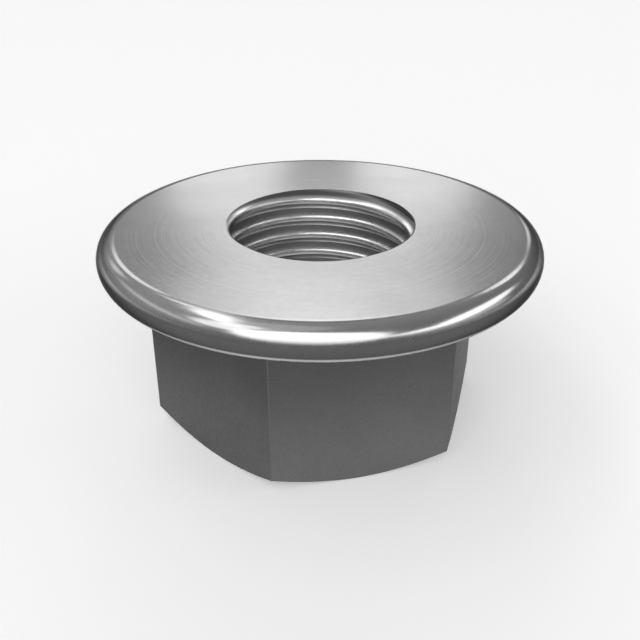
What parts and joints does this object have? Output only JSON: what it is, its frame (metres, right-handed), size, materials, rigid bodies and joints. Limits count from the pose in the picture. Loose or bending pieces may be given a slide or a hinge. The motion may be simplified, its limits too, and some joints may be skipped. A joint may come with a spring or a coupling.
{
  "type": "hexagon flange nut",
  "caption": "Hexagon nut with a round flange on its bearing side and a fine internal thread, for clamping on a bolt without a washer.",
  "frame": {"origin": "on the thread axis, at the plane of the hexagon end that the nut stands on", "axes": "+Z along the thread axis, from the hexagon end up to the flange's bearing face; two flats of the hexagon face +Y and -Y"},
  "size_m": [0.0218, 0.0218, 0.01],
  "materials": {
    "steel": "plain turned and ground steel, satin to polished, uncoated"
  },
  "bodies": {
    "root": {"flange_nut": "steel"}
  },
  "joints": []
}
